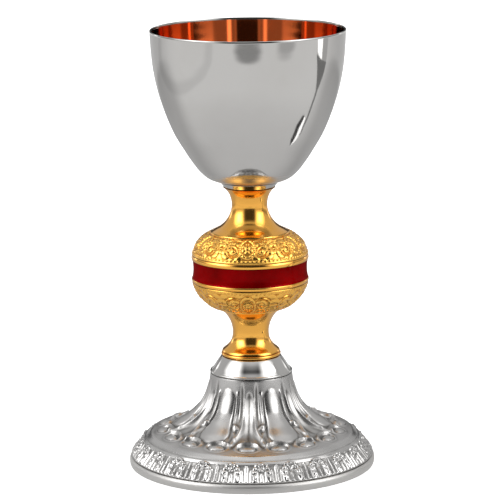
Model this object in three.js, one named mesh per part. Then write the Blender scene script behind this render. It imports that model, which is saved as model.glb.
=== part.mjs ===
// A communion chalice: a stack of turned, spun and cast brass parts clamped together by one tie rod.
// Millimetres, +Z up, the origin in the middle of the circle that the foot stands on, -Y to the front.
// From the top: the plated bowl on its seat ring, the gilt upper stem, the knop with its enamel band, the gilt
// lower stem and the silver-plated foot. The rod holds the stack down on the foot by a nut inside the bell,
// and its top end is the stud that the cup screws onto.

import * as THREE from "three";

// Driving dimensions
const HEIGHT = 240;
const MOUTH_R = 53;
const FOOT_R = 67.5;
const KNOP_R = 32.1;
const WAIST_R = 9.7; // both stems at their narrowest
const THREAD_R = 3; // M6 rod
const ROD_HOLE_R = THREAD_R + 0.3;
const BOWL_WALL = 1;
const SHELL_WALL = 1.6; // knop and foot castings
const GAP = 0.3; // between one piece of the stack and the next
const LOBES = 10; // raised tongues on the foot, with a hollow flute between each two

// Where each piece of the stack ends, from the table up
const RIM_TOP = 5;
const BORDER_TOP = 18;
const BELL_TOP = 51;
const COLLAR_TOP = 60.5;
const FLANGE_TOP = 62.5;
const LOWER_STEM_TOP = 87;
const LOWER_SHELL_TOP = 102;
const BAND_TOP = 117;
const UPPER_SHELL_TOP = 129.5;
const UPPER_STEM_TOP = 154;
const SEAT_WASHER_TOP = 154.8;
const SEAT_RING_TOP = 157;

// Smoothness
const ROUND = 40;
const FOOT_ROUND = 60;
const BELL_ROUND = 8 * LOBES;
const SMALL_ROUND = 24;

const v = (r, z) => new THREE.Vector2(r, z);
const list = (...pairs) => pairs.map(([r, z]) => v(r, z));

// A curve through a few knots, with one more point between each two.
function smooth(...pairs) {
  const knots = list(...pairs);
  return new THREE.SplineCurve(knots).getPoints(2 * (knots.length - 1));
}

// Finishes
const silver = new THREE.MeshStandardMaterial({ color: 0xc9c7c3, metalness: 1, roughness: 0.12 });
const satinSilver = new THREE.MeshStandardMaterial({ color: 0xc4c2bd, metalness: 1, roughness: 0.35 });
const gold = new THREE.MeshStandardMaterial({ color: 0xe8b04a, metalness: 1, roughness: 0.15 });
const enamel = new THREE.MeshStandardMaterial({ color: 0x8a0008, metalness: 0, roughness: 0.08 });
const brass = new THREE.MeshStandardMaterial({ color: 0xb5985a, metalness: 1, roughness: 0.4 });
const steel = new THREE.MeshStandardMaterial({ color: 0x9a9c9f, metalness: 1, roughness: 0.35 });
const fibre = new THREE.MeshStandardMaterial({ color: 0x5a2a1e, metalness: 0, roughness: 0.8 });

// Profiles are in the XY plane with the axis of the chalice along Y, so this group stands them up along Z.
const chalice = new THREE.Group();
chalice.rotation.x = Math.PI / 2;

function add(name, geometry, material, level) {
  const mesh = new THREE.Mesh(geometry, material);
  mesh.name = name;
  mesh.position.y = level;
  chalice.add(mesh);
}

// A body with a hole through it, from a closed profile that runs up its outside and down its inside.
function ring(profile, segments = ROUND) {
  return new THREE.LatheGeometry([...profile, profile[0]], segments);
}

function tube(inner, outer, length, segments = SMALL_ROUND) {
  return ring(list([inner, 0], [outer, 0], [outer, length], [inner, length]), segments);
}

// The inner face of a wall: the knots of its outer curve moved in along the normal, in reverse order.
function insideOf(points, wall) {
  return points
    .map((p, i) => {
      const before = points[Math.max(i - 1, 0)];
      const after = points[Math.min(i + 1, points.length - 1)];
      const along = after.clone().sub(before).normalize();
      return v(p.x - along.y * wall, p.y + along.x * wall);
    })
    .filter((_, i) => i % 2 === 0)
    .reverse();
}

// The plain rim that stands on the table, with its lower edge rounded off.
function footRim() {
  const inner = 62.8;
  const profile = list([inner, 0], [66.9, 0], [67.35, 0.8], [FOOT_R, 2.5], [67.3, 4.4], [66.9, RIM_TOP]);
  return ring([...profile, v(inner, RIM_TOP)], FOOT_ROUND);
}

// The sloping border ring: the stretch that carries the leaves, with a plain ledge above it under the bell.
function footBorder() {
  const height = BORDER_TOP - RIM_TOP - GAP;
  const outside = list([64.6, 0], [66.6, 0], [66.3, 0.9], [59.2, 9.2], [58.8, 9.9], [55.8, height]);
  const inside = list([52.2, height], [52.2, height - SHELL_WALL], [54.8, height - SHELL_WALL]);
  return ring([...outside, ...inside], FOOT_ROUND);
}

// The bell of the foot has tongues and flutes up its side and an oval boss at the lower end of each.
const BOSSES = 2 * LOBES;
const BOSS_RING_R = 50.6;
function bellRelief(r, angle) {
  const tongue = THREE.MathUtils.smoothstep(r, 23, 30) * (1 - THREE.MathUtils.smoothstep(r, 40, 46));
  const boss = Math.max(0, 1 - Math.abs(r - BOSS_RING_R) / 4);
  const across = Math.max(0, Math.cos(BOSSES * angle));
  return -0.8 * tongue * Math.cos(LOBES * angle) + 1.4 * Math.sqrt(boss) * across;
}

const CEILING_WALL = 1.5;
function footBell() {
  const height = BELL_TOP - BORDER_TOP - GAP;
  const ceiling = height - CEILING_WALL;
  const outside = smooth(
    [54.6, 0],
    [BOSS_RING_R, 2],
    [44.2, 2.4],
    [36.4, 7.4],
    [28.6, 15.6],
    [24, 25],
    [21.6, height],
  );
  const inside = insideOf(outside, SHELL_WALL);
  inside[0] = v(20, ceiling);
  inside[inside.length - 1] = v(53.1, 0);
  const profile = [...outside, v(ROD_HOLE_R, height), v(ROD_HOLE_R, ceiling), ...inside];
  const geometry = ring(profile, BELL_ROUND);
  const rows = profile.length + 1;
  const place = geometry.getAttribute("position");
  const normal = geometry.getAttribute("normal");
  for (let i = 0; i < place.count; i++) {
    const row = i % rows;
    if (row === 0 || row >= outside.length - 1) continue;
    const angle = (Math.floor(i / rows) * 2 * Math.PI) / BELL_ROUND;
    const point = new THREE.Vector3().fromBufferAttribute(place, i);
    point.addScaledVector(new THREE.Vector3().fromBufferAttribute(normal, i), bellRelief(outside[row].x, angle));
    place.setXYZ(i, point.x, point.y, point.z);
  }
  return geometry;
}

// The polished cone between the foot and the gilt stem, with a thin bead round its lower edge.
function footCollar() {
  const height = COLLAR_TOP - BELL_TOP - GAP;
  const roof = height - 2;
  const bead = list([18.8, 0], [21.4, 0], [21.9, 0.7]);
  const cone = smooth([20.9, 1.6], [18.6, 4.6], [15.9, height]);
  const socket = list([ROD_HOLE_R, height], [ROD_HOLE_R, roof], [12.6, roof]);
  return ring([...bead, ...cone, ...socket]);
}

function stemFlange() {
  const height = FLANGE_TOP - COLLAR_TOP - GAP;
  return ring(list([ROD_HOLE_R, 0], [16.1, 0], [16.5, height / 2], [16.1, height], [ROD_HOLE_R, height]));
}

function lowerStem() {
  const height = LOWER_STEM_TOP - FLANGE_TOP - GAP;
  const outside = smooth([15.2, 0], [15, 1.8], [11.2, 5.6], [WAIST_R, 11.2], [11.3, 17.2], [14.4, height]);
  return ring([v(ROD_HOLE_R, 0), ...outside, v(ROD_HOLE_R, height)]);
}

// The lower half of the knop is a dish, with the rod hole in its flat floor.
function knopLowerShell() {
  const height = LOWER_SHELL_TOP - LOWER_STEM_TOP - GAP;
  const dish = smooth([17.6, 0], [24.6, 3], [29.6, 8.6], [31.7, height]);
  const hollow = insideOf(dish, SHELL_WALL);
  hollow[0] = v(31.7 - SHELL_WALL, height);
  hollow[hollow.length - 1] = v(17.6, SHELL_WALL);
  return ring([v(ROD_HOLE_R, 0), ...dish, ...hollow, v(ROD_HOLE_R, SHELL_WALL)]);
}

// The upper half is a dome with a flat top.
function knopUpperShell() {
  const height = UPPER_SHELL_TOP - BAND_TOP - GAP;
  const ceiling = height - SHELL_WALL;
  const dome = smooth([31.7, 0], [30.2, 4.6], [26.6, 9.2], [21.6, height]);
  const hollow = insideOf(dome, SHELL_WALL);
  hollow[0] = v(20.6, ceiling);
  hollow[hollow.length - 1] = v(31.7 - SHELL_WALL, 0);
  return ring([...dome, v(ROD_HOLE_R, height), v(ROD_HOLE_R, ceiling), ...hollow]);
}

// The band ring between the shells has a fillet above and below a channel, which holds the enamel.
const CHANNEL_BOTTOM = 2;
const CHANNEL_TOP = 12.1;
const CHANNEL_R = 30.2;
function bandRing() {
  const height = BAND_TOP - LOWER_SHELL_TOP - GAP;
  const inner = 28.8;
  return ring(
    list(
      [inner, 0],
      [31.7, 0],
      [KNOP_R, 1],
      [31.9, CHANNEL_BOTTOM],
      [CHANNEL_R, CHANNEL_BOTTOM],
      [CHANNEL_R, CHANNEL_TOP],
      [31.9, CHANNEL_TOP],
      [KNOP_R, 13.4],
      [31.7, height],
      [inner, height],
    ),
  );
}

// The fired enamel fills the channel, with a face that is hollow by 0.6 mm at its middle.
function enamelBand() {
  const clear = 0.05;
  const bottom = clear;
  const top = CHANNEL_TOP - CHANNEL_BOTTOM - clear;
  const face = smooth([31.7, bottom], [31.1, (bottom + top) / 2], [31.7, top]);
  return ring([v(CHANNEL_R + clear, bottom), ...face, v(CHANNEL_R + clear, top)]);
}

// A solid turned spool with a rod hole and, at its top, a wider pocket for the boss under the bowl.
const POCKET_R = 6.1;
const POCKET_DEPTH = 11;
function upperStem() {
  const height = UPPER_STEM_TOP - UPPER_SHELL_TOP - GAP;
  const floor = height - POCKET_DEPTH;
  const outside = smooth([20.6, 0.4], [14.3, 4.2], [10.6, 9.6], [WAIST_R, 14.4], [10.5, 19.4], [14.1, height]);
  const pocket = list([POCKET_R, height], [POCKET_R, floor], [ROD_HOLE_R, floor], [ROD_HOLE_R, 0]);
  return ring([v(20.6, 0), ...outside, ...pocket]);
}

function seatRing() {
  const height = SEAT_RING_TOP - SEAT_WASHER_TOP - GAP;
  return ring(list([POCKET_R, 0], [15.2, 0], [15.8, 0.8], [16, height], [POCKET_R, height]));
}

// The boss is brazed to the bowl. It passes through the seat ring into the upper stem and screws onto the rod.
const BOSS_R = 5.8;
const BOSS_BORE_R = THREAD_R + 0.1;
const BOSS_TOP = SEAT_RING_TOP;
const BOSS_BOTTOM = UPPER_STEM_TOP - POCKET_DEPTH + 1;
const THREAD_ENGAGED = 6;
function cupBoss() {
  const length = BOSS_TOP - BOSS_BOTTOM;
  const boreEnd = THREAD_ENGAGED + 2;
  const bore = list([0, boreEnd], [BOSS_BORE_R, boreEnd], [BOSS_BORE_R, 0]);
  return new THREE.LatheGeometry([...bore, ...list([BOSS_R, 0], [BOSS_R, length], [0, length])], SMALL_ROUND);
}

function cupBowl() {
  const height = HEIGHT - SEAT_RING_TOP - GAP;
  const flat = 14.6;
  const outside = smooth(
    [flat, 0],
    [22.2, 2.4],
    [30.2, 11],
    [38, 22.6],
    [44.3, 36],
    [48.9, 50.6],
    [51.7, 66],
    [MOUTH_R, height],
  );
  const inside = insideOf(outside, BOWL_WALL);
  inside[0].y = height;
  inside[inside.length - 1] = v(flat, BOWL_WALL);
  return new THREE.LatheGeometry([v(0, 0), ...outside, ...inside, v(0, BOWL_WALL)], ROUND);
}

// Clamping hardware under the bell's ceiling
const BEARING_THICK = 1.5;
const LOCK_THICK = 1.5;
const NUT_HEIGHT = 5;
const NUT_ACROSS_FLATS = 10;
const ROD_PAST_NUT = 10;
const bearingBottom = BELL_TOP - CEILING_WALL - GAP - BEARING_THICK;
const lockBottom = bearingBottom - GAP - LOCK_THICK;
const nutBottom = lockBottom - GAP - NUT_HEIGHT;
const rodBottom = nutBottom - ROD_PAST_NUT;

function tieRod() {
  const length = BOSS_BOTTOM + THREAD_ENGAGED - rodBottom;
  const chamfer = 0.6;
  const narrow = THREAD_R - chamfer;
  const end = list([0, 0], [narrow, 0], [THREAD_R, chamfer]);
  const top = list([THREAD_R, length - chamfer], [narrow, length], [0, length]);
  return new THREE.LatheGeometry([...end, ...top], SMALL_ROUND);
}

function extruded(shape, height) {
  const solid = new THREE.ExtrudeGeometry(shape, { depth: height, bevelEnabled: false, curveSegments: SMALL_ROUND });
  return solid.rotateX(-Math.PI / 2);
}

// A spring washer is one turn with a slit in it.
function lockWasher() {
  const slit = THREE.MathUtils.degToRad(12);
  const shape = new THREE.Shape();
  shape.absarc(0, 0, 5.8, slit / 2, 2 * Math.PI - slit / 2, false);
  shape.absarc(0, 0, THREAD_R + 0.4, 2 * Math.PI - slit / 2, slit / 2, true);
  return extruded(shape, LOCK_THICK);
}

function hexNut() {
  const corner = NUT_ACROSS_FLATS / 2 / Math.cos(Math.PI / 6);
  const corners = Array.from({ length: 6 }, (_, i) => {
    const angle = (i * Math.PI) / 3;
    return v(corner * Math.cos(angle), corner * Math.sin(angle));
  });
  const shape = new THREE.Shape(corners);
  shape.holes.push(new THREE.Path().absarc(0, 0, BOSS_BORE_R, 0, 2 * Math.PI, true));
  return extruded(shape, NUT_HEIGHT);
}

// The spacer tube carries the clamping force through the hollow knop.
const spacerBottom = LOWER_STEM_TOP + GAP + SHELL_WALL + GAP;
const spacerTop = UPPER_SHELL_TOP - SHELL_WALL - GAP;

add("foot_rim", footRim(), satinSilver, 0);
add("foot_border", footBorder(), silver, RIM_TOP + GAP);
add("foot_bell", footBell(), silver, BORDER_TOP + GAP);
add("foot_collar", footCollar(), silver, BELL_TOP + GAP);
add("stem_flange", stemFlange(), gold, COLLAR_TOP + GAP);
add("lower_stem", lowerStem(), gold, FLANGE_TOP + GAP);
add("knop_lower_shell", knopLowerShell(), gold, LOWER_STEM_TOP + GAP);
add("knop_spacer_tube", tube(4.5, 6.5, spacerTop - spacerBottom), brass, spacerBottom);
add("knop_band_ring", bandRing(), gold, LOWER_SHELL_TOP + GAP);
add("enamel_band", enamelBand(), enamel, LOWER_SHELL_TOP + GAP + CHANNEL_BOTTOM);
add("knop_upper_shell", knopUpperShell(), gold, BAND_TOP + GAP);
add("upper_stem", upperStem(), gold, UPPER_SHELL_TOP + GAP);
add("seat_washer", tube(POCKET_R, 12.5, SEAT_WASHER_TOP - UPPER_STEM_TOP - GAP, ROUND), fibre, UPPER_STEM_TOP + GAP);
add("cup_seat_ring", seatRing(), silver, SEAT_WASHER_TOP + GAP);
add("cup_boss", cupBoss(), brass, BOSS_BOTTOM);
add("cup_bowl", cupBowl(), silver, SEAT_RING_TOP + GAP);
add("tie_rod", tieRod(), steel, rodBottom);
add("bearing_washer", tube(ROD_HOLE_R, 15, BEARING_THICK, ROUND), brass, bearingBottom);
add("lock_washer", lockWasher(), steel, lockBottom);
add("retaining_nut", hexNut(), steel, nutBottom);

export default chalice;
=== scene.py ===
"""The looks of the communion chalice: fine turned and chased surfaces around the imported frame.

Every piece but the lock washer is turned about the chalice's axis, from an outline in millimetres: radius
and height. Chased work is a relief on the turned surface: how far it stands out, in millimetres, from the
radius, the distance along the outline and the angle. Angle 0 is the front (-Y), and angles grow towards the
right (+X).
"""

import math

import bpy
import numpy as np
from mathutils import Euler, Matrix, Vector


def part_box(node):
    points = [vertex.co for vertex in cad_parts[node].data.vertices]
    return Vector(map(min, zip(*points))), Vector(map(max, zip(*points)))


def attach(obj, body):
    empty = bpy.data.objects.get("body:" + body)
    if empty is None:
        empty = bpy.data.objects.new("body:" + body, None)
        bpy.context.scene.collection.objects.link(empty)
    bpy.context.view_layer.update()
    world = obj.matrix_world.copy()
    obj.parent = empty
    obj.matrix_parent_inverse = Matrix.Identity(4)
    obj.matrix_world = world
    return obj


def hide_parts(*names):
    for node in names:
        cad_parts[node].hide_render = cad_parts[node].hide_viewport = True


MM = 0.001
TURN = 2 * math.pi
SHARP_EDGE = 55  # degrees between two faces that are not shaded as one
ROD_HOLE = 3.4  # the radius of the hole for the tie rod, in millimetres
BOSS_HOLE = 6.2  # the radius of the hole for the cup's boss
PLAIN_COLUMNS = 256  # how many faces go round a plain turned piece
LARGE_COLUMNS = 384  # the same for the largest of them

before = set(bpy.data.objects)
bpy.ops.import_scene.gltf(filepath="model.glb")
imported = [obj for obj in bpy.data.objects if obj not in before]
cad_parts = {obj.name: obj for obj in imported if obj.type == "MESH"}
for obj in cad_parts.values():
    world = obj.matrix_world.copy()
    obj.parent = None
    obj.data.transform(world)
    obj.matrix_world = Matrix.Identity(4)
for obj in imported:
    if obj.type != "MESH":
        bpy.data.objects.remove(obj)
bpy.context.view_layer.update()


def bottom(node):
    """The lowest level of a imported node, in millimetres."""
    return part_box(node)[0][2] / MM


def top(node):
    """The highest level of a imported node, in millimetres."""
    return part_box(node)[1][2] / MM


def radius(node):
    """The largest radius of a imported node, in millimetres."""
    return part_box(node)[1][0] / MM


# ------------------------------------------------------------------------------------------------ outlines


def curve(knots, step):
    """Points about step apart on a smooth curve through the knots."""
    knots = np.array(knots, float)
    ends = np.vstack([2 * knots[0] - knots[1], knots, 2 * knots[-1] - knots[-2]])
    parts = []
    for before, start, end, after in zip(ends, ends[1:], ends[2:], ends[3:]):
        count = max(2, round(float(np.linalg.norm(end - start)) / step))
        t = np.linspace(0, 1, count, endpoint=False)[:, None]
        lead = (end - before) / 2
        trail = (after - start) / 2
        parts.append(
            start * (2 * t**3 - 3 * t**2 + 1)
            + lead * (t**3 - 2 * t**2 + t)
            + end * (3 * t**2 - 2 * t**3)
            + trail * (t**3 - t**2)
        )
    parts.append(knots[-1:])
    return np.vstack(parts)


def rounded(corners, fillet=0.25):
    """A closed outline through the corners, each rounded off by its own third value or else by fillet."""
    sized = [(c[0], c[1], c[2] if len(c) > 2 else fillet) for c in corners]
    parts = []
    for i, (r, z, size) in enumerate(sized):
        here = np.array([r, z])
        back = np.array(sized[i - 1][:2]) - here
        ahead = np.array(sized[(i + 1) % len(sized)][:2]) - here
        reach = [float(np.linalg.norm(back)), float(np.linalg.norm(ahead))]
        cut = min(size, reach[0] / 2.2, reach[1] / 2.2)
        start = here + back / reach[0] * cut
        end = here + ahead / reach[1] * cut
        t = np.linspace(0, 1, max(4, round(3 * cut) + 2))[:, None]
        parts.append(start * (1 - t) ** 2 + here * 2 * t * (1 - t) + end * t**2)
    return np.vstack(parts)


def fine(points, step, closed=True):
    """The same outline with no two points further apart than step."""
    after = np.roll(points, -1, axis=0) if closed else points[1:]
    parts = []
    for start, end in zip(points, after):
        count = max(1, math.ceil(float(np.linalg.norm(end - start)) / step))
        parts.append(start + (end - start) * np.arange(count)[:, None] / count)
    if not closed:
        parts.append(points[-1:])
    return np.vstack(parts)


def length(points):
    """The length of an open outline."""
    return float(np.linalg.norm(np.diff(points, axis=0), axis=1).sum())


# -------------------------------------------------------------------------------------------------- meshes


def build(name, vertices, faces, material, recess):
    """A smooth mesh from vertices in millimetres and quads. A triangle is a quad that repeats its last
    corner. recess is how deep each vertex lies under its surroundings, from 0 to 1."""
    used, where = np.unique(faces, return_inverse=True)
    faces = where.reshape(faces.shape)
    single = faces[:, 2] == faces[:, 3]
    keep = np.ones(faces.shape, bool)
    keep[single, 3] = False
    starts = np.concatenate([[0], np.cumsum(np.where(single, 3, 4))[:-1]])
    mesh = bpy.data.meshes.new(name)
    mesh.vertices.add(len(used))
    mesh.vertices.foreach_set("co", (vertices[used] * MM).astype(np.float32).ravel())
    mesh.loops.add(int(keep.sum()))
    mesh.loops.foreach_set("vertex_index", faces[keep].astype(np.int32))
    mesh.polygons.add(len(faces))
    mesh.polygons.foreach_set("loop_start", starts.astype(np.int32))
    mesh.polygons.foreach_set("use_smooth", np.ones(len(faces), bool))
    mesh.materials.append(material)
    layer = mesh.attributes.new("recess", "FLOAT", "POINT")
    layer.data.foreach_set("value", recess[used].astype(np.float32))
    mesh.update(calc_edges=True)
    mesh.set_sharp_from_angle(angle=math.radians(SHARP_EDGE))
    piece = bpy.data.objects.new(name, mesh)
    bpy.context.scene.collection.objects.link(piece)
    return piece


def turned(name, points, material, columns, closed=True, relief=None):
    """Turns an outline, which runs up its outside, about the axis. An open outline starts and ends on the
    axis. relief(r, s, angle) is the height added along the normal; s is the distance along the outline."""
    rows = len(points)
    if closed:
        along = np.roll(points, -1, axis=0) - np.roll(points, 1, axis=0)
    else:
        along = np.gradient(points, axis=0)
    along /= np.linalg.norm(along, axis=1)[:, None]
    angle = np.arange(columns)[None] * TURN / columns
    r = np.repeat(points[:, :1], columns, axis=1)
    z = np.repeat(points[:, 1:], columns, axis=1)
    recess = np.zeros((rows, columns))
    if relief:
        s = np.concatenate([[0], np.cumsum(np.linalg.norm(np.diff(points, axis=0), axis=1))])[:, None]
        height = relief(r, s, angle) + np.zeros((rows, columns))
        recess = sunk(height)
        r = r + height * along[:, 1:]
        z = z - height * along[:, :1]
    vertices = np.stack([r * np.sin(angle), -r * np.cos(angle), z], axis=-1).reshape(-1, 3)
    index = np.arange(rows * columns).reshape(rows, columns)
    if not closed:
        index[0] = index[0, 0]
        index[-1] = index[-1, 0]
    lower = index if closed else index[:-1]
    upper = np.roll(index, -1, axis=0) if closed else index[1:]
    quads = np.stack([lower, np.roll(lower, -1, axis=1), np.roll(upper, -1, axis=1), upper], axis=-1)
    if not closed:
        quads[0] = quads[0][:, [2, 3, 0, 1]]
    return build(name, vertices, quads.reshape(-1, 4), material, recess.ravel())


def sunk(height):
    """How far each point lies under its surroundings, from 0 to 1 at a third of a millimetre."""
    around = height.copy()
    for _ in range(5):
        around = (around + np.roll(around, 2, axis=1) + np.roll(around, -2, axis=1)) / 3
        around[2:-2] = (around[4:] + around[2:-2] + around[:-4]) / 3
    return np.clip((around - height) / 0.33, 0, 1)


# ------------------------------------------------------------------------------------------ relief helpers


def ramp(x, low, high):
    """0 up to low, 1 from high on, smooth between them."""
    t = np.clip((x - low) / (high - low), 0, 1)
    return t * t * (3 - 2 * t)


def within(x, low, high, soft):
    """1 between low and high, 0 elsewhere, with edges that are soft wide on each side."""
    return ramp(x, low - soft, low + soft) * (1 - ramp(x, high - soft, high + soft))


def nearest(angle, count, offset=0.0):
    """The angle from the middle of the nearest of count places round the axis, in radians."""
    pitch = TURN / count
    return (angle - offset + pitch / 2) % pitch - pitch / 2


def dome(q):
    """A round cushion: 1 in the middle, 0 from q = 1 on."""
    return np.sqrt(np.clip(1 - q * q, 0, 1))


def ridge(distance, width):
    """A bell-shaped ridge: 1 along its crest, fading out over width."""
    return np.exp(-((distance / width) ** 2))


def flower(x, y, size, petals):
    """A rosette: a button in a ring of petals, 1 high at the button."""
    rho = np.hypot(x, y) / size
    alpha = np.arctan2(x, y)
    button = dome(rho / 0.27)
    split = np.abs(np.cos(petals * alpha / 2))
    edge = 0.82 + 0.18 * split
    outer = 0.75 * dome((rho - 0.62) / 0.36) * (0.25 + 0.75 * split) * (rho < edge)
    return np.maximum(button, outer)


def blade(x, y, half_width, low, high):
    """An upright reed, like a long roof with a round tip, 1 high along its crest."""
    tip = np.clip((y - (high - 2 * half_width)) / (2 * half_width), 0, 1)
    width = half_width * np.sqrt(np.clip(1 - tip**2, 0, 1)) + 1e-3
    return np.clip(1 - np.abs(x) / width, 0, 1) ** 0.8 * within(y, low, high, 0.15)


# ------------------------------------------------------------------------------------------- the foot

FLUTES = 6
BOSSES = 3 * FLUTES
MOTIFS = 4 * FLUTES
FRONT = math.radians(-3)  # where the middle of a flute faces
BELL_COLUMNS = 120 * FLUTES
BORDER_COLUMNS = 42 * MOTIFS


def foot_rim():
    low, high = bottom("foot_rim"), top("foot_rim")
    out = radius("foot_rim")
    inner = 62.9
    outside = [(out - 0.4, low, 0.7), (out, 1.6, 1.2), (out - 0.1, 3.8, 0.8), (out - 1.0, high, 0.3)]
    points = fine(rounded([(inner, low), *outside, (inner, high)]), 0.5)
    return turned("rim_band", points, satin_silver, LARGE_COLUMNS)


def foot_border():
    """A slope that carries the leaves, and the plain ledge over it."""
    low, high = bottom("foot_border"), top("foot_border")
    foot = np.array([66.4, low + 0.5])
    shoulder = np.array([59.0, 14.9])
    slope = fine(np.array([foot, shoulder]), 0.26, closed=False)
    ledge = fine(curve([shoulder, (57.6, 16.3), (56.0, 17.6)], 0.4), 0.4, closed=False)[1:]
    inside = [(55.2, high), (52.4, high), (52.4, high - 1.4)]
    inside += [(54.8, high - 1.8), (64.4, low), (66.0, low)]
    points = np.vstack([slope, ledge, fine(np.array(inside), 1.2, closed=False)])
    span = length(slope)

    def relief(r, s, angle):
        x = nearest(angle, MOTIFS, FRONT + math.pi / MOTIFS) * r
        side = np.abs(x)
        half = math.pi * r / MOTIFS
        face = within(s, 0.15, span + 0.5, 0.15)

        # The arch of leaves that stands round each motif, with rays and a rosette inside it.
        arch_centre = 6.7
        arch = np.hypot(side, np.maximum(s - arch_centre, 0))
        height = 0.35 * ramp(4.9 - arch, -0.1, 0.3)
        fan = np.arctan2(side, s - arch_centre)
        crown = 0.45 + 0.55 * np.abs(np.cos(5.5 * fan))
        height = height + 0.95 * dome((arch - 3.9) / 0.95) * ramp(s, 0.3, 0.9) * crown
        rays = np.abs(np.cos(5 * fan + 0.6))
        height = height + 0.6 * rays * within(arch, 1.9, 3.0, 0.2) * (s > 5.6)
        height = np.maximum(height, 0.35 + 0.8 * flower(x, s - 7.9, 1.5, 5))

        # Upright reeds: where they stand from the middle of the motif to its edge, and where they end.
        for place, tip in ((0.0, 5.9), (0.33, 7.2), (0.67, 8.0), (1.0, 10.2)):
            height = np.maximum(height, 0.3 + 0.8 * blade(side - half * place, s, half / 6, 0.4, tip))
        veins = 0.07 * np.cos(TURN * x / 0.83 + 1.3 * np.cos(s * 1.7))
        sunk_ground = 0.45 * within(s, 0.3, span - 1.6, 0.3)
        return (height + veins * ramp(height, 0.2, 0.6)) * face - sunk_ground

    return turned("leaf_border", points, leaf_silver, BORDER_COLUMNS, relief=relief)


def foot_bell():
    """Six flutes that open out below, a broad tongue between each two, and eighteen framed bosses."""
    low, high = bottom("foot_bell"), top("foot_bell")
    knots = [
        (55.0, low - 0.3),
        (50.6, 19.2),
        (46.2, 20.0),
        (42.0, 21.2),
        (38.8, 22.9),
        (35.8, 24.7),
        (33.2, 26.6),
        (30.6, 29.0),
        (28.6, 31.2),
        (27.0, 33.4),
        (25.5, 36.6),
        (24.3, 40.0),
        (23.6, 43.0),
        (23.0, 47.0),
        (22.5, high - 0.4),
        (22.3, high),
    ]
    outside = curve(knots, 0.48)
    roof = [(ROD_HOLE, high), (ROD_HOLE, high - 1.5), (19.6, high - 1.5)]
    hollow = [(19.8, 48.5), (21.4, 40.0), (24.2, 33.0), (29.6, 26.4)]
    hollow += [(36.0, 21.6), (43.0, 18.8), (52.6, 17.9)]
    points = np.vstack([outside, fine(np.array(roof), 3, closed=False), curve(hollow, 3)])
    span = length(outside)

    def relief(r, s, angle):
        fall = span - s
        degree = math.radians(1) * r
        side = np.degrees(np.abs(nearest(angle, FLUTES, FRONT)))

        # The flute, in degrees from its middle: a hollow with a raised rim and a groove outside the rim.
        flute_half = 6.3 + 4.6 * ramp(fall, 25, 41) + 2.6 * ramp(fall, 40, 45)
        q = side / flute_half
        start = ramp(fall, 6.0 + 2.5 * q**2, 9.5 + 2.5 * q**2)
        deep = 0.52 * flute_half * degree * (1 - ramp(fall, 29, 40))
        height = -deep * np.clip(1 - q, 0, 1) * start
        rim_width = 0.55 + 0.85 * ramp(fall, 20, 34)
        rim = ridge((side - flute_half - 0.8 * ramp(fall, 24, 36)) * degree, rim_width)
        height = height + rim * (0.3 * start + 1.0 * ramp(fall, 16, 30)) * (1 - ramp(fall, 41, 44))
        height = height - 0.85 * ridge((side - flute_half - 3.4) * degree, 0.75) * within(fall, 3.5, 22, 3)

        # The thin leaf beside the flute, which ends in a curl over a stalk.
        leaf = side - 15.8 + 3.9 * ramp(fall, 22, 29)
        height = height + 0.7 * np.clip(1 - np.abs(leaf * degree) / 1.25, 0, 1) * within(fall, 7, 28.5, 1.6)
        curl = dome(np.hypot(leaf * degree / 2.1, (fall - 27.2) / 2.3))
        height = height + 1.1 * curl - 0.5 * dome(np.hypot(leaf * degree / 0.8, (fall - 27.6) / 0.9))
        stalk = (side - 13.6 + 0.35 * (fall - 29)) * degree
        height = height + 0.6 * ridge(stalk, 0.8) * within(fall, 30, 37, 1.2)

        # The tongue, half-way between two flutes.
        tongue_middle = 180 / FLUTES
        tongue_half = 11.2 + 2.0 * ramp(fall, 20, 34)
        lower = np.maximum((fall - 31.0) / 9.5, 0)
        upper = np.maximum((11 - fall) / 6.0, 0)
        q = np.sqrt(((tongue_middle - side) / tongue_half) ** 2 + lower**2 + upper**2)
        full = 0.75 + 1.15 * ramp(fall, 8, 26) + 0.3 * ramp(fall, 28, 36)
        height = height + full * np.clip(1 - q**2, 0, 1) ** 0.65
        height = height - 0.45 * ridge((side - (29.2 - tongue_half)) * degree, 0.4) * within(fall, 9, 34, 3)

        # The oval bosses round the foot of the bell, each in a frame that is highest above it.
        boss_middle = 45.0
        x = nearest(angle, BOSSES, FRONT) * r
        y = fall - boss_middle
        q = np.hypot(x / 6.3, y / np.where(y < 0, 5.2, 4.0))
        frame_top = ramp(-y, -1, 4)
        height = height * (1 - 0.75 * (1 - ramp(q, 0.7, 1.1)))
        height = height - 0.4 * (1 - ramp(q, 0.75, 0.95))
        height = height + (0.4 + 1.5 * frame_top) * ridge((1 - q) * 5.0, 0.65)
        height = height + 1.8 * dome(np.hypot(x / 4.7, (y - 0.6) / 2.8))
        return height * within(s, 0.2, span - 1.0, 0.3)

    return turned("bell", points, cast_silver, BELL_COLUMNS, relief=relief)


def foot_collar():
    low, high = bottom("foot_collar"), top("foot_collar")
    bead = rounded([(19.0, low), (22.3, low, 0.2), (22.7, low + 0.8, 0.6), (22.0, low + 1.5, 0.4)])[4:]
    knots = [(21.3, low + 1.8), (20.4, 54.4), (19.1, 56.5), (17.7, 58.6), (16.4, high - 0.2), (15.9, high)]
    cone = curve(knots, 0.4)
    corners = [(ROD_HOLE, high), (ROD_HOLE, high - 2.0), (12.7, high - 2.0), (19.0, low)]
    inside = fine(np.array(corners), 2, closed=False)
    points = np.vstack([fine(bead, 0.4, closed=False), cone, inside])
    return turned("collar", points, mirror_silver, PLAIN_COLUMNS)


# --------------------------------------------------------------------------------------- stems and knop


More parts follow.
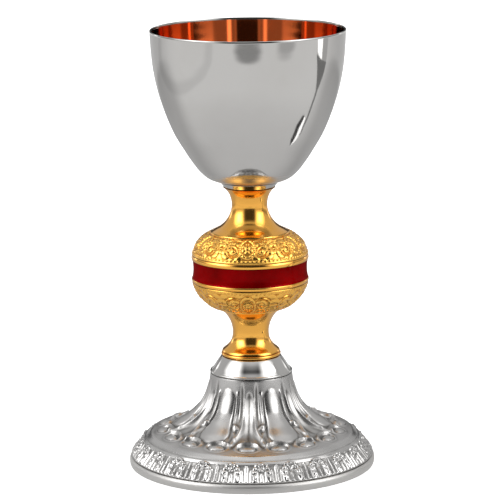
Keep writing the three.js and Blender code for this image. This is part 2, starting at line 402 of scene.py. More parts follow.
def stem_flange():
    low, high = bottom("stem_flange"), top("stem_flange")
    out = radius("stem_flange")
    upper = high + 0.1
    outside = [(out - 0.7, low, 0.3), (out, (low + high) / 2, 0.8), (out - 0.5, upper, 0.4)]
    points = fine(rounded([(ROD_HOLE, low), *outside, (ROD_HOLE, upper)]), 0.4)
    return turned("flange", points, polished_gold, PLAIN_COLUMNS)


def lower_stem():
    low, high = bottom("lower_stem"), top("lower_stem")
    knots = [(15.9, low + 0.2), (15.4, 64.1), (13.0, 66.1), (11.3, 68.2), (10.3, 70.4), (9.9, 73.4)]
    knots += [(10.15, 76.4), (11.0, 79.4), (12.4, 82.2), (14.2, 84.6), (16.6, high)]
    outside = curve(knots, 0.35)
    inside = fine(np.array([(ROD_HOLE, high), (ROD_HOLE, low), (15.2, low)]), 2.5, closed=False)
    return turned("spool_lower", np.vstack([outside, inside]), polished_gold, PLAIN_COLUMNS)


def upper_stem():
    low, high = bottom("upper_stem"), top("upper_stem")
    knots = [(21.0, low), (20.6, 130.0), (19.2, 130.8), (16.6, 132.2), (14.2, 134.2), (12.4, 136.4)]
    knots += [(11.0, 138.9), (10.1, 141.5), (9.7, 144.2), (9.9, 146.7), (10.6, 149.3)]
    knots += [(11.7, 151.4), (13.1, 153.1), (14.2, high)]
    outside = curve(knots, 0.35)
    pocket_floor = 143.0
    pocket = [(BOSS_HOLE, high), (BOSS_HOLE, pocket_floor), (ROD_HOLE, pocket_floor), (ROD_HOLE, low)]
    inside = fine(np.array(pocket), 2.5, closed=False)
    return turned("spool_upper", np.vstack([outside, inside]), polished_gold, PLAIN_COLUMNS)


KNOP_MEDALLIONS = 6
KNOP_COLUMNS = 140 * KNOP_MEDALLIONS
KNOP_RADIUS = 31.6  # beside the enamel
KNOP_WALL = 2.0  # there
CHASED_RADIUS = 28.0  # half-way up the chased zone


def scroll(x, y, reach, turns, spin):
    """A volute about (0, 0): a rounded band that winds in to a bead, with short ribs fanned out round it.
    spin is 1 or -1, the way it winds."""
    rho = np.hypot(x, y)
    alpha = np.arctan2(y, x) * spin
    pitch = reach / turns
    wound = (rho / pitch - alpha / TURN) % 1.0
    band_height = 0.85 * dome((wound - 0.5) / 0.36) * (1 - ramp(rho, reach * 0.92, reach))
    ribs = (0.45 + 0.55 * np.abs(np.cos(5 * alpha + 1.5 * rho / reach))) * dome((rho / reach - 1.38) / 0.36)
    bead = dome(rho / (pitch * 0.55))
    return np.maximum(np.maximum(band_height, 0.75 * ribs), bead)


def chasing(u, v, half, tall):
    """The pattern of the knop on one field that is 2 * half wide and tall high: a rosette in an oval of
    leaves, on each side a large volute and a smaller one, and a waved line over them. u runs from the
    middle, v from the edge beside the enamel."""
    side = np.abs(u)
    middle = tall * 0.52
    oval = np.hypot(u / 4.9, (v - middle) / (tall * 0.47))
    height = 0.8 * flower(u, (v - middle) * 0.9, 3.3, 6)
    height = np.maximum(height, 1.1 * dome(np.hypot(u / 1.7, (v - middle) / 2.0)))
    around = np.arctan2(side, v - middle)
    leaves = 0.55 + 0.45 * np.abs(np.cos(9 * around))
    height = np.maximum(height, 0.8 * dome((oval - 0.86) / 0.14) * leaves)
    outside = ramp(oval, 1.0, 1.08)
    for across, up, reach, turns, spin in (
        (0.52, 0.36, 0.27, 1.7, -1.0),
        (0.90, 0.62, 0.23, 1.4, 1.0),
    ):
        volute = scroll(side - half * across, v - tall * up, tall * reach, turns, spin)
        height = np.maximum(height, volute * outside)
    bend = v - tall * 0.86 + 0.5 * np.cos(side / half * 7)
    height = np.maximum(height, 0.7 * ridge(bend, 0.55) * outside)
    return height


def knop_shell(name, outside, inside, flip):
    """One half of the knop, chased between a smooth fillet beside the enamel and one at the stem. flip is
    for the half whose outline starts at the stem."""
    points = np.vstack([outside, inside])
    span = length(outside)

    def relief(r, s, angle):
        v = span - s if flip else s
        u = nearest(angle, KNOP_MEDALLIONS, FRONT) * CHASED_RADIUS
        half = math.pi * CHASED_RADIUS / KNOP_MEDALLIONS
        low, high = 1.9, span - 1.0
        zone = within(v, low, high, 0.12)
        height = chasing(u, v - low, half, high - low) * zone
        beads = dome(np.hypot(nearest(angle, 90) * r, v - 1.4) / 0.55)
        fillets = 0.55 * ridge(v - (span - 0.6), 0.35) + 0.25 * ridge(v - 0.45, 0.4)
        return 0.72 * height - 0.25 * zone + 0.3 * beads + fillets * within(v, 0, span - 0.1, 0.05)

    return turned(name, points, chased_gold, KNOP_COLUMNS, relief=relief)


def knop_upper_shell():
    low, high = bottom("knop_upper_shell"), top("knop_upper_shell")
    knots = [(KNOP_RADIUS, low), (31.0, 119.6), (29.7, 122.6), (27.4, 125.3), (24.4, 127.8), (20.6, high)]
    inside = [(ROD_HOLE, high), (ROD_HOLE, high - 1.5), (20.0, high - 1.5)]
    inside += [(26.2, 123.4), (28.4, 120.6), (KNOP_RADIUS - KNOP_WALL, low)]
    return knop_shell("knop_dome", curve(knots, 0.22), fine(np.array(inside), 2, closed=False), flip=False)


def knop_lower_shell():
    low, high = bottom("knop_lower_shell"), top("knop_lower_shell")
    knots = [(17.2, low), (22.0, 88.9), (25.6, 91.9), (28.7, 95.4), (30.7, 98.9), (KNOP_RADIUS, high)]
    inside = [(KNOP_RADIUS - KNOP_WALL, high), (28.6, 98.0), (26.4, 94.2)]
    inside += [(20.0, low + 1.6), (ROD_HOLE, low + 1.6), (ROD_HOLE, low)]
    return knop_shell("knop_dish", curve(knots, 0.22), fine(np.array(inside), 3, closed=False), flip=True)


def knop_band():
    low, high = bottom("knop_band_ring"), top("knop_band_ring")
    out = radius("knop_band_ring")
    lower, upper = bottom("enamel_band") - 0.1, top("enamel_band") + 0.1
    inner, channel = 28.9, 30.3
    corners = [(inner, low), (out - 0.5, low, 0.2)]
    corners += [(out - 0.02, (low + lower) / 2, 0.7), (out - 0.25, lower, 0.25), (channel, lower)]
    corners += [(channel, upper), (out - 0.25, upper, 0.25), (out - 0.02, (upper + high) / 2, 0.9)]
    corners += [(out - 0.5, high, 0.2), (inner, high)]
    return turned("enamel_carrier", fine(rounded(corners, 0.15), 0.45), polished_gold, PLAIN_COLUMNS)


def enamel_band():
    low, high = bottom("enamel_band"), top("enamel_band")
    middle = (low + high) / 2
    edge, shoulder, hollow, back = 31.75, 31.45, 31.1, 30.35
    knots = [(edge, low), (shoulder, low + 0.7), (hollow, middle - 1.5)]
    knots += [(hollow, middle + 1.5), (shoulder, high - 0.7), (edge, high)]
    return turned("enamel", np.vstack([curve(knots, 0.3), [(back, high), (back, low)]]), enamel, 320)


# ------------------------------------------------------------------------------------------------ the cup

BOWL_WALL = 0.84  # of silver, in millimetres
GILT_BACK = 0.86  # how deep under the outside the lining starts
GILT_FACE = 1.02  # and how deep it ends


def bowl_outside():
    """The outline of the bowl's outside, from the axis to the rim."""
    low, high = bottom("cup_bowl"), top("cup_bowl")
    knots = [(15.4, low), (18.6, 157.9), (22.6, 159.6), (26.6, 163.0), (30.6, 168.1), (35.2, 175.2)]
    knots += [(39.9, 183.1), (43.7, 191.6), (46.7, 199.9), (49.1, 208.1), (50.9, 216.6), (52.0, 225.0)]
    knots += [(52.6, 233.0), (radius("cup_bowl") - 0.05, high - 0.3)]
    return np.vstack([[(0.0, low)], curve(knots, 0.9)])


def bowl_shell():
    """The silver outside. The lining covers its inside."""
    outside = bowl_outside()
    high = top("cup_bowl")
    inside = offset(outside[1:], BOWL_WALL)[::-1]
    inside = inside[inside[:, 1] < high - 0.4]
    knots = [(52.95, high - 0.3), (52.75, high - 0.05), (52.45, high - 0.02)]
    knots += [(52.2, high - 0.1), (52.1, high - 0.35)]
    lip = curve(knots, 0.08)
    floor = [(0.0, inside[-1, 1])]
    points = np.vstack([outside[:-1], lip, inside, floor])
    return turned("bowl", points, bowl_silver, LARGE_COLUMNS, closed=False)


def bowl_gilding():
    """The gilt lining, a thin layer inside the silver."""
    outside = bowl_outside()
    high = top("cup_bowl") - 0.42
    back = offset(outside[1:], GILT_BACK)
    face = offset(outside[1:], GILT_FACE)[::-1]
    back = back[back[:, 1] < high]
    face = face[face[:, 1] < high]
    points = np.vstack([[(0.0, back[0, 1])], back, face, [(0.0, face[-1, 1])]])
    return turned("gilt_lining", points, shaded_lining_gold, LARGE_COLUMNS, closed=False)


def offset(points, wall):
    """The outline moved in by wall along its normal."""
    along = np.gradient(points, axis=0)
    along /= np.linalg.norm(along, axis=1)[:, None]
    return points + wall * np.stack([-along[:, 1], along[:, 0]], axis=1)


def cup_seat_ring():
    low, high = bottom("cup_seat_ring"), top("cup_seat_ring")
    skirt = bottom("seat_washer") + 0.02
    corners = [(BOSS_HOLE, low), (13.0, low), (13.2, skirt, 0.15), (13.9, skirt, 0.2)]
    corners += [(15.9, high, 0.1), (BOSS_HOLE, high)]
    return turned("seat_ring", fine(rounded(corners, 0.1), 0.4), mirror_silver, PLAIN_COLUMNS)


def cup_boss():
    low, high = bottom("cup_boss"), top("cup_boss")
    out = radius("cup_boss")
    bore = [(0.0, low + 8), (3.1, low + 7), (3.1, low + 0.6), (3.6, low)]
    outside = [(out - 0.5, low), (out, low + 0.5), (out, high), (0.0, high)]
    points = fine(np.array([*bore, *outside]), 0.5, closed=False)
    return turned("boss", points, raw_brass, 96, closed=False)


def seat_washer():
    low, high = bottom("seat_washer"), top("seat_washer")
    out = radius("seat_washer")
    corners = [(BOSS_HOLE, low), (out, low), (out, high), (BOSS_HOLE, high)]
    return turned("fibre_washer", fine(rounded(corners, 0.12), 0.4), fibre, 128)


# ------------------------------------------------------------------------------- what holds it together


def knop_spacer_tube():
    low, high = bottom("knop_spacer_tube"), top("knop_spacer_tube")
    inner, out = 4.5, radius("knop_spacer_tube")
    corners = [(inner, low), (out, low), (out, high), (inner, high)]
    return turned("spacer_tube", fine(rounded(corners, 0.3), 0.8), raw_brass, 96)


THREAD_PITCH = 1.0
THREAD_DEPTH = 0.55
NUT_THREAD_DEPTH = 0.35
THREAD_STEP = THREAD_PITCH / 7  # between two rows of points on a thread


def thread(depth):
    """The relief of a thread that is cut into the outline. It is right-handed where the outline runs up."""

    def relief(r, s, angle):
        phase = (s / THREAD_PITCH - angle / TURN) % 1.0
        return -depth * ramp(np.abs(phase - 0.5) * 2, 0.1, 0.85)

    return relief


def tie_rod():
    low, high = bottom("tie_rod"), top("tie_rod")
    out = radius("tie_rod")
    side = fine(np.array([(out, low + 0.7), (out, high - 0.7)]), THREAD_STEP, closed=False)
    lower_end = [(0.0, low), (2.2, low), (2.5, low + 0.2)]
    upper_end = [(2.5, high - 0.2), (2.2, high), (0.0, high)]
    points = np.vstack([lower_end, side, upper_end])
    span = length(points)

    def relief(r, s, angle):
        return thread(THREAD_DEPTH)(r, s, angle) * within(s, 3.6, span - 3.6, 0.6)

    return turned("threaded_rod", points, steel, 36, closed=False, relief=relief)


def bearing_washer():
    low, high = bottom("bearing_washer"), top("bearing_washer")
    out = radius("bearing_washer")
    corners = [(ROD_HOLE, low), (out, low), (out, high), (ROD_HOLE, high)]
    return turned("bearing_disc", fine(rounded(corners), 0.6), raw_brass, 160)


def lock_washer():
    """A split ring whose two ends are sprung a little apart."""
    low, high = bottom("lock_washer"), top("lock_washer")
    inner, outer = 3.45, 5.75
    corners = [(inner, low + 0.1), (outer, low + 0.1), (outer, high - 0.1), (inner, high - 0.1)]
    section = fine(rounded(corners, 0.2), 0.5)
    columns = 120
    slit = math.radians(8)
    turn = np.linspace(slit, TURN - slit, columns)[None] + math.pi / 2
    lift = np.linspace(-0.08, 0.08, columns)[None]
    r = np.repeat(section[:, :1], columns, axis=1)
    z = section[:, 1:] + lift
    vertices = np.stack([r * np.sin(turn), -r * np.cos(turn), z], axis=-1)
    rows = len(section)
    index = np.arange(rows * columns).reshape(rows, columns)
    upper = np.roll(index, -1, axis=0)
    sides = np.stack([index[:, :-1], index[:, 1:], upper[:, 1:], upper[:, :-1]], axis=-1).reshape(-1, 4)
    middles = vertices[:, [0, -1]].mean(axis=0)
    first, last = rows * columns, rows * columns + 1
    start = np.stack([index[:, 0], upper[:, 0], np.full(rows, first), np.full(rows, first)], axis=-1)
    finish = np.stack([upper[:, -1], index[:, -1], np.full(rows, last), np.full(rows, last)], axis=-1)
    everything = np.vstack([vertices.reshape(-1, 3), middles])
    recess = np.zeros(len(everything))
    return build("spring_washer", everything, np.vstack([sides, start, finish]), steel, recess)


def retaining_nut():
    """A hexagon nut, chamfered at both ends, with a thread inside. The outline runs down its bore."""
    low, high = bottom("retaining_nut"), top("retaining_nut")
    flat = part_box("retaining_nut")[1][1] / MM
    corner = flat / math.cos(math.pi / 6)
    outer = fine(np.array([(corner, low + 0.05), (corner, high - 0.05)]), 0.25, closed=False)
    bore = fine(np.array([(3.12, high - 0.5), (3.12, low + 0.5)]), THREAD_STEP, closed=False)
    faces_top = [(flat - 0.3, high), (3.6, high)]
    faces_bottom = [(3.6, low), (flat - 0.3, low)]
    points = np.vstack([outer, faces_top, bore, faces_bottom])
    outer_length = length(outer)
    bore_start = outer_length + length(np.vstack([outer[-1:], faces_top, bore[:1]]))
    bore_end = bore_start + length(bore)

    def relief(r, s, angle):
        level = low + 0.05 + s
        hexagon = flat / np.cos(nearest(angle, 6, math.pi / 6))
        chamfer = corner - 0.85 + 1.7 * np.minimum(level - low, high - level)
        side = np.minimum(hexagon, chamfer) - corner
        side = side * (s <= outer_length + 1e-6)
        cut = thread(NUT_THREAD_DEPTH)(r, s, angle)
        return side + cut * within(s, bore_start + 0.3, bore_end - 0.3, 0.2)

    return turned("hexagon_nut", points, steel, 144, relief=relief)


# ---------------------------------------------------------------------------------------------- materials


class Nodes:
    """A node tree of a material or a world, with short ways to add and join nodes."""

    def __init__(self, owner):
        owner.use_nodes = True
        self.tree = owner.node_tree

    def add(self, kind, **values):
        node = self.tree.nodes.new("ShaderNode" + kind)
        for key, value in values.items():
            setattr(node, key, value)
        return node

    def join(self, source, target):
        self.tree.links.new(source, target)

    def place(self, stretch=(1, 1, 1)):
        """The object's own coordinates, which are metres in the frame, stretched."""
        coordinates = self.add("TexCoord")
        mapping = self.add("Mapping")
        mapping.inputs["Scale"].default_value = stretch
        self.join(coordinates.outputs["Object"], mapping.inputs["Vector"])
        return mapping.outputs["Vector"]

    def noise(self, scale, detail=4.0, rough=0.55, stretch=(1, 1, 1)):
        node = self.add("TexNoise")
        node.inputs["Scale"].default_value = scale
        node.inputs["Detail"].default_value = detail
        node.inputs["Roughness"].default_value = rough
        self.join(self.place(stretch), node.inputs["Vector"])
        return node.outputs["Fac"]

    def spread(self, value, low, high, to_low, to_high, kind="LINEAR"):
        node = self.add("MapRange", interpolation_type=kind)
        for key, number in zip(("From Min", "From Max", "To Min", "To Max"), (low, high, to_low, to_high)):
            node.inputs[key].default_value = number
        self.join(value, node.inputs["Value"])
        return node.outputs["Result"]

    def math(self, operation, a, b):
        node = self.add("Math", operation=operation)
        for socket, value in zip(node.inputs, (a, b)):
            if isinstance(value, (int, float)):
                socket.default_value = value
            else:
                self.join(value, socket)
        return node.outputs["Value"]

    def blend(self, factor, first, second):
        node = self.add("Mix", data_type="RGBA")
        self.join(factor, node.inputs[0])
        for socket, value in zip(node.inputs[6:8], (first, second)):
            if isinstance(value, tuple):
                socket.default_value = (*value, 1)
            else:
                self.join(value, socket)
        return node.outputs[2]

    def bump(self, height, distance, under=None):
        node = self.add("Bump")
        node.inputs["Distance"].default_value = distance
        self.join(height, node.inputs["Height"])
        if under:
            self.join(under, node.inputs["Normal"])
        return node.outputs["Normal"]


def band(n, value, low, high, soft):
    """1 while value is between low and high, with edges that are soft wide on each side."""
    rise = n.spread(value, low - soft, low + soft, 0, 1, "SMOOTHSTEP")
    fall = n.spread(value, high - soft, high + soft, 1, 0, "SMOOTHSTEP")
    return n.math("MULTIPLY", rise, fall)


def surface(name):
    """A new material, its nodes and its shader."""
    material = bpy.data.materials.new(name)
    n = Nodes(material)
    return material, n, n.tree.nodes["Principled BSDF"]


DULL_ROUGHNESS = 0.34
DULL_EDGE = 0.003


def metal(name, colour, tarnish_and_shade, gloss, grain, wave=0.0, turned_lines=0.0, recess_darkening=0.0, dull=None):
    """A plated or plain metal. gloss is (smoothest, roughest), tarnish_and_shade the colour of smudges and
    of the darkened recesses. grain, wave and turned_lines are depths in metres: of fine pitting, of the
    slow unevenness of a face polished by hand, and of the marks of turning. recess_darkening is how dark
    the
    recesses are painted, from 0 to 1: tarnish in the silver's hollows and painted shade. dull is the zone
    of heights, in metres, in which the metal is less bright."""
    material, n, shader = surface(name)
    shader.inputs["Metallic"].default_value = 1.0
    smudge = n.noise(38, 5, 0.6)
    fine_marks = n.noise(900, 3, 0.6, (1, 1, 2.5))
    rough = n.spread(smudge, 0.32, 0.72, gloss[0], gloss[1])
    rough = n.math("ADD", rough, n.spread(fine_marks, 0.3, 0.8, 0.0, (gloss[1] - gloss[0]) * 0.6))
    recess = n.add("Attribute", attribute_name="recess").outputs["Fac"]
    # Painted shade: the recesses are darkened towards the tarnish colour, which in the silver also stands
    # for tarnish in its hollows.
    recess_tarnish_and_shade = n.math("MULTIPLY", recess, recess_darkening)
    film = n.math("MULTIPLY", n.spread(n.noise(22, 4), 0.45, 0.8, 0.0, 1.0), 0.35)
    shade = n.math("MAXIMUM", recess_tarnish_and_shade, film)
    n.join(n.blend(shade, colour, tarnish_and_shade), shader.inputs["Base Color"])
    rough = n.math("ADD", rough, n.math("MULTIPLY", recess_tarnish_and_shade, 0.25))
    if dull:
        parts = n.add("SeparateXYZ")
        n.join(n.place(), parts.inputs[0])
        zone = band(n, parts.outputs[2], *dull, DULL_EDGE)
        rough = n.math("MAXIMUM", rough, n.math("MULTIPLY", zone, DULL_ROUGHNESS))
    n.join(rough, shader.inputs["Roughness"])
    normal = n.bump(n.noise(2600, 2), grain)
    if turned_lines:
        rings = n.noise(1.0, 6, 0.7, (3, 3, 2600))
        normal = n.bump(rings, turned_lines, normal)
    if wave:
        normal = n.bump(n.noise(26, 2, 0.4), wave, normal)
    n.join(normal, shader.inputs["Normal"])
    return material


def enamel_glaze():
    """Red enamel that is half clear, with the metal shining through it: darker where it is thick."""
    material, n, shader = surface("red_enamel")
    depth = n.spread(n.noise(45, 3), 0.35, 0.65, 0.0, 1.0)
    n.join(n.blend(depth, (0.31, 0.0, 0.001), (0.15, 0.0, 0.0)), shader.inputs["Base Color"])
    shader.inputs["Metallic"].default_value = 0.5
    shader.inputs["Specular Tint"].default_value = (0.5, 0.02, 0.015, 1)
    shader.inputs["Roughness"].default_value = 0.32
    shader.inputs["Specular IOR Level"].default_value = 0.0
    shader.inputs["Coat Weight"].default_value = 0.06
    shader.inputs["Coat Roughness"].default_value = 0.05
    n.join(n.bump(n.noise(60, 2), 0.00006), shader.inputs["Coat Normal"])
    n.join(n.bump(n.noise(700, 3), 0.00002), shader.inputs["Normal"])
    return material


def fibre_board():
    material, n, shader = surface("red_fibre")
    mottle = n.noise(600, 4, 0.7)
    n.join(n.blend(mottle, (0.20, 0.05, 0.03), (0.33, 0.11, 0.07)), shader.inputs["Base Color"])
    n.join(n.spread(mottle, 0.3, 0.7, 0.65, 0.85), shader.inputs["Roughness"])
    n.join(n.bump(mottle, 0.00005), shader.inputs["Normal"])
    return material


BRIGHT = (0.59, 0.58, 0.565)
BRIGHT_FILM = (0.48, 0.46, 0.43)
# The colour of the silver's recesses: tarnish in the hollows and painted shade.
RECESS_TARNISH_AND_SHADE = (0.11, 0.107, 0.10)
MIRROR_GLOSS = (0.035, 0.08)
MIRROR_GRAIN = 0.0000004
MIRROR_WAVE = 0.00004

mirror_silver = metal("mirror_silver", BRIGHT, BRIGHT_FILM, MIRROR_GLOSS, MIRROR_GRAIN, wave=MIRROR_WAVE)
bowl_silver = metal(
    "bowl_silver", BRIGHT, BRIGHT_FILM, MIRROR_GLOSS, MIRROR_GRAIN, wave=MIRROR_WAVE, dull=(0.15, 0.164)
)
cast_silver = metal(
    "cast_silver", (0.55, 0.54, 0.53), RECESS_TARNISH_AND_SHADE, (0.21, 0.30), 0.000006, recess_darkening=0.8, dull=(0.01, 0.0315)
)
leaf_silver = metal("leaf_silver", (0.61, 0.60, 0.59), RECESS_TARNISH_AND_SHADE, (0.16, 0.23), 0.000006, recess_darkening=0.8)
satin_silver = metal(
    "satin_silver", (0.58, 0.57, 0.555), (0.47, 0.45, 0.42), (0.38, 0.46), 0.00001, turned_lines=0.00003
)
polished_gold = metal(
    "polished_gold", (1.0, 0.51, 0.10), (0.92, 0.38, 0.05), (0.09, 0.15), 0.0000005, wave=0.00003
)
# The chased gold's recesses are painted dark brown: painted shade.
chased_gold = metal(
    "chased_gold", (1.0, 0.55, 0.11), (0.52, 0.17, 0.015), (0.15, 0.22), 0.000004, recess_darkening=1.0
)
# The lining's gold is darker and redder than the outside gold: painted shade of the bowl's inside.
shaded_lining_gold = metal(
    "shaded_lining_gold", (0.83, 0.37, 0.19), (0.66, 0.24, 0.12), (0.03, 0.06), MIRROR_GRAIN, wave=MIRROR_WAVE
)
raw_brass = metal(
    "raw_brass", (0.62, 0.47, 0.22), (0.34, 0.22, 0.09), (0.30, 0.42), 0.00001, turned_lines=0.00004
)
steel = metal("zinc_steel", (0.50, 0.51, 0.52), (0.26, 0.25, 0.23), (0.28, 0.40), 0.00001, recess_darkening=0.6)
enamel = enamel_glaze()
fibre = fibre_board()


# ------------------------------------------------------------------------------------------------- pieces

FOOT = "foot_and_stem"
CUP = "cup"

# Each piece: what makes it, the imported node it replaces, the body it rides on, and its material slot.
PIECES = [
    (foot_rim, "foot_rim", FOOT, "satin_silver"),
    (foot_border, "foot_border", FOOT, "cast_silver"),
    (foot_bell, "foot_bell", FOOT, "cast_silver"),
    (foot_collar, "foot_collar", FOOT, "silver_plate"),
    (stem_flange, "stem_flange", FOOT, "gilt"),
    (lower_stem, "lower_stem", FOOT, "gilt"),
    (knop_lower_shell, "knop_lower_shell", FOOT, "gilt"),
    (knop_band, "knop_band_ring", FOOT, "gilt"),
    (enamel_band, "enamel_band", FOOT, "enamel"),
    (knop_upper_shell, "knop_upper_shell", FOOT, "gilt"),
    (knop_spacer_tube, "knop_spacer_tube", FOOT, "raw_brass"),
    (upper_stem, "upper_stem", FOOT, "gilt"),
    (tie_rod, "tie_rod", FOOT, "steel"),
    (bearing_washer, "bearing_washer", FOOT, "raw_brass"),
    (lock_washer, "lock_washer", FOOT, "steel"),
    (retaining_nut, "retaining_nut", FOOT, "steel"),
    (seat_washer, "seat_washer", "washer", "fibre"),
    (cup_seat_ring, "cup_seat_ring", CUP, "silver_plate"),
    (cup_boss, "cup_boss", CUP, "raw_brass"),
    (bowl_shell, "cup_bowl", CUP, "silver_plate"),
]
for make, node, body, slot in PIECES:
    piece = make()
    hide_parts(node)
    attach(piece, body)
lining = bowl_gilding()
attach(lining, CUP)


# ------------------------------------------------------------------------------------------------- studio

# Each area of light is in degrees, seen from the chalice with 0 at the camera: from left to right, from low
# to high, how soft its edges are, and its strength. A gap's strength is the part of the light taken away.
SOFTBOXES = [
    (-96, -45, 12, 55, 10, 1.8),
    (43, 92, 12, 55, 10, 1.5),
    (-80, -54, 17, 46, 8, 2.6),
    (54, 77, 17, 46, 8, 2.6),
]
BEHIND = [
    (-215, -104, -28, -2, 6, 0.42),
    (100, 215, -28, -2, 6, 0.38),
    (-140, -131, 2, 13, 3, 2.2),
    (134, 142, 2, 12, 3, 1.6),
]
GAPS = [
    (-34, 34, -25, 53, 8, 0.92),
    (-200, -153, 2, 15, 3, 0.95),
    (155, 200, 2, 15, 3, 0.95),
    (-150, -95, 1, 12, 4, 0.45),
    (95, 152, 1, 12, 4, 0.45),
]
ALL_ROUND = 0.60
OVERHEAD = 1.05
OVERHEAD_STARTS = 45
OVERHEAD_FULL = 80


def studio_light():
    """Soft light all round that is brighter overhead, with darker gaps in it, a softbox with a brighter
    middle on each side of the camera, and pale strips behind."""
    world = bpy.data.worlds.new("studio")
    bpy.context.scene.world = world
    n = Nodes(world)
    parts = n.add("SeparateXYZ")
    n.join(n.add("TexCoord").outputs["Generated"], parts.inputs[0])
    x, y, z = parts.outputs
    azimuth = n.math("MULTIPLY", n.math("ARCTAN2", x, n.math("MULTIPLY", y, -1)), math.degrees(1))
    elevation = n.math("MULTIPLY", n.math("ARCSINE", z, 0), math.degrees(1))

    def area(left, right, low, high, soft, strength):
        across = band(n, azimuth, left, right, soft)
        return n.math("MULTIPLY", n.math("MULTIPLY", across, band(n, elevation, low, high, soft)), strength)

    light = n.spread(elevation, OVERHEAD_STARTS, OVERHEAD_FULL, ALL_ROUND, OVERHEAD)
    for place in GAPS:
        light = n.math("MULTIPLY", light, n.math("SUBTRACT", 1, area(*place)))
    for place in [*SOFTBOXES, *BEHIND]:
        light = n.math("ADD", light, area(*place))
    background = n.tree.nodes["Background"]
    background.inputs["Color"].default_value = (1, 1, 1, 1)
    n.join(light, background.inputs["Strength"])


def stage(name, vertices, faces, glow, seen_by, colour=0.0):
    """A part of the room, in metres, that one kind of ray sees. glow is a number or a function that makes
    nodes for it; colour is how much of the light the part reflects."""
    mesh = bpy.data.meshes.new(name)
    mesh.from_pydata(vertices, [], faces)
    material, n, shader = surface(name)
    shader.inputs["Base Color"].default_value = (colour, colour, colour, 1)
    shader.inputs["Roughness"].default_value = 1.0
    shader.inputs["Specular IOR Level"].default_value = 0.0
    shader.inputs["Emission Color"].default_value = (1, 1, 1, 1)
    if callable(glow):
        n.join(glow(n), shader.inputs["Emission Strength"])
    else:
        shader.inputs["Emission Strength"].default_value = glow
    mesh.materials.append(material)
    thing = bpy.data.objects.new(name, mesh)
    thing.visible_camera = seen_by == "camera"
    thing.visible_glossy = seen_by == "glossy"
    thing.visible_diffuse = False
    thing.visible_shadow = False
    bpy.context.scene.collection.objects.link(thing)
    return thing


def sheet(points):
    """The vertices and the one face of a flat sheet."""
    return points, [tuple(range(len(points)))]


def floor_corners(level):
    half = FLOOR_SIZE / 2
    return [(-half, -half, level), (half, -half, level), (half, half, level), (-half, half, level)]


# Darker or paler places painted on the mirrored floor, which only reflections see: painted reflections of
# things in the room, and round the middle a painted shadow of the chalice. In metres: the middle, the
# half-axes, how soft the edge is as a part of them, and the part of the light that is added.
FLOOR_GLOW = 0.86
FLOOR_REFLECTIONS_AND_SHADOW = [
    (0.0, -1.00, 0.27, 0.17, 0.3, -0.60),
    (0.82, -0.79, 0.25, 0.17, 0.4, -0.36),
    (-1.30, -0.1, 0.84, 1.0, 0.03, -0.12),
    (-1.30, -0.1, 0.70, 0.8, 0.10, 0.16),
    (0.0, 1.2, 2.0, 0.9, 0.5, -0.30),
    (0.0, 0.47, 0.9, 0.43, 0.22, -0.30),
    (0.0, 0.0, 0.28, 0.28, 0.6, -0.16),
]


def mirrored_glow(n):
    """The light of the mirrored floor: a glowing sheet that only reflections see, with painted reflections
    and a painted shadow.
    """
    parts = n.add("SeparateXYZ")
    n.join(n.add("TexCoord").outputs["Object"], parts.inputs[0])
    light = FLOOR_GLOW
    for x, y, half_x, half_y, soft, gain in FLOOR_REFLECTIONS_AND_SHADOW:
        across = n.math("DIVIDE", n.math("SUBTRACT", parts.outputs[0], x), half_x)
        along = n.math("DIVIDE", n.math("SUBTRACT", parts.outputs[1], y), half_y)
        squares = n.math("ADD", n.math("MULTIPLY", across, across), n.math("MULTIPLY", along, along))
        reach = n.math("SQRT", squares, 0)
        mask = n.spread(reach, 1 - soft, 1 + soft, gain, 0, "SMOOTHSTEP")
        light = n.math("MULTIPLY", light, n.math("ADD", mask, 1))
    return light


FLOOR_SIZE = 14
FLOOR_LEVEL = -0.00005
FLOOR_LIGHT = 0.62
FLOOR_COLOUR = 0.9
MIRRORED_LEVEL = -0.0001
WALL_RADIUS = 6
WALL_FOOT = -0.001
WALL_HEIGHT = 5
WALL_SIDES = 48
WALL_LIGHT = 1.0


def backdrop():
    """A round white wall."""
    turns = [TURN * i / WALL_SIDES for i in range(WALL_SIDES)]
    ring = [(WALL_RADIUS * math.sin(turn), WALL_RADIUS * math.cos(turn)) for turn in turns]
    points = [(x, y, z) for z in (WALL_FOOT, WALL_HEIGHT) for x, y in ring]
    sides = [(i, (i + 1) % WALL_SIDES) for i in range(WALL_SIDES)]
    faces = [(start, end, end + WALL_SIDES, start + WALL_SIDES) for start, end in sides]
    stage("backdrop", points, faces, WALL_LIGHT, "camera")


studio_light()
backdrop()
stage("floor", *sheet(floor_corners(FLOOR_LEVEL)), FLOOR_LIGHT, "camera", FLOOR_COLOUR)
# The mirrored floor glows and only reflections see it: a painted reflection of the floor.
stage("mirrored_floor", *sheet(floor_corners(MIRRORED_LEVEL)), mirrored_glow, "glossy")
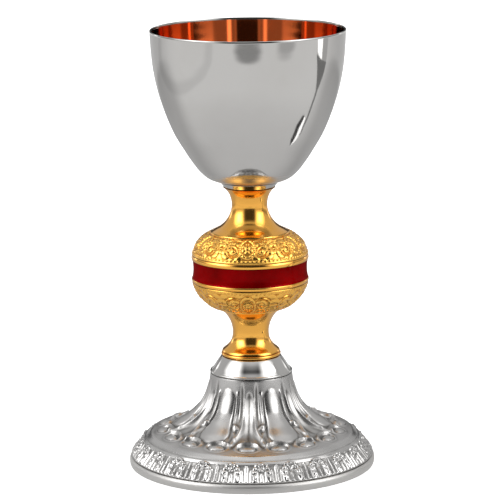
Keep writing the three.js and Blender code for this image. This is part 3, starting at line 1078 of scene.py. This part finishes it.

# A slim lamp that stands at the right of the chalice, for its mirror image in the bowl: flat glowing sheets
# that only reflections see, a painted reflection of a lamp in which the lit and the shaded side of its
# shade, its cup and its pole glow by different amounts. The outline of each part is in metres, sideways
# and up, at one distance from the axis, and then how bright the part is.
LAMP_DISTANCE = 0.235
LAMP_PARTS = [
    ("lamp_shade_lit", [(-0.034, 0.188), (-0.006, 0.180), (-0.003, 0.222), (-0.040, 0.222)], 2.2),
    ("lamp_shade", [(-0.006, 0.180), (0.028, 0.176), (0.038, 0.222), (-0.003, 0.222)], 0.55),
    ("lamp_cup", [(-0.007, 0.118), (0.004, 0.118), (0.030, 0.176), (-0.006, 0.180), (-0.040, 0.187)], 0.24),
    ("lamp_pole", [(-0.006, 0.0), (0.004, 0.0), (0.004, 0.118), (-0.007, 0.118)], 0.20),
]
for name, outline, glow in LAMP_PARTS:
    stage(name, *sheet([(LAMP_DISTANCE, y, z) for y, z in outline]), glow, "glossy")


# The lamp's foot and the shadow beside it lie just over the floor: glowing sheets that only reflections
# see, a painted lit foot and a painted shadow.
LAMP_FOOT_LEVEL = 0.001
LAMP_FOOT_PARTS = [
    (
        "lamp_foot",
        [(0.165, -0.016), (0.20, -0.008), (0.25, -0.004), (0.30, -0.008), (0.31, -0.020), (0.25, -0.027)],
        2.0,
    ),
    (
        "lamp_foot_shadow",
        [(0.165, -0.016), (0.25, -0.028), (0.31, -0.022), (0.30, -0.045), (0.25, -0.058), (0.19, -0.044)],
        0.05,
    ),
]
for name, outline, glow in LAMP_FOOT_PARTS:
    stage(name, *sheet([(x, y, LAMP_FOOT_LEVEL) for x, y in outline]), glow, "glossy")

# The camera, in millimetres and degrees.
CAMERA_BACK = 1593.4
CAMERA_HEIGHT = 441.4
PITCH_DOWN = 11.441
ROLL = 0.6
FIELD_OF_VIEW = 9.583

view = bpy.data.cameras.new("camera")
view.angle = math.radians(FIELD_OF_VIEW)
view.clip_end = 50
camera = bpy.data.objects.new("camera", view)
camera.location = (0, -CAMERA_BACK * MM, CAMERA_HEIGHT * MM)
camera.rotation_euler = Euler((math.radians(90 - PITCH_DOWN), 0, 0))
camera.rotation_euler.rotate_axis("Z", math.radians(-ROLL))
bpy.context.scene.collection.objects.link(camera)
bpy.context.scene.camera = camera
bpy.context.scene.view_settings.view_transform = "Standard"
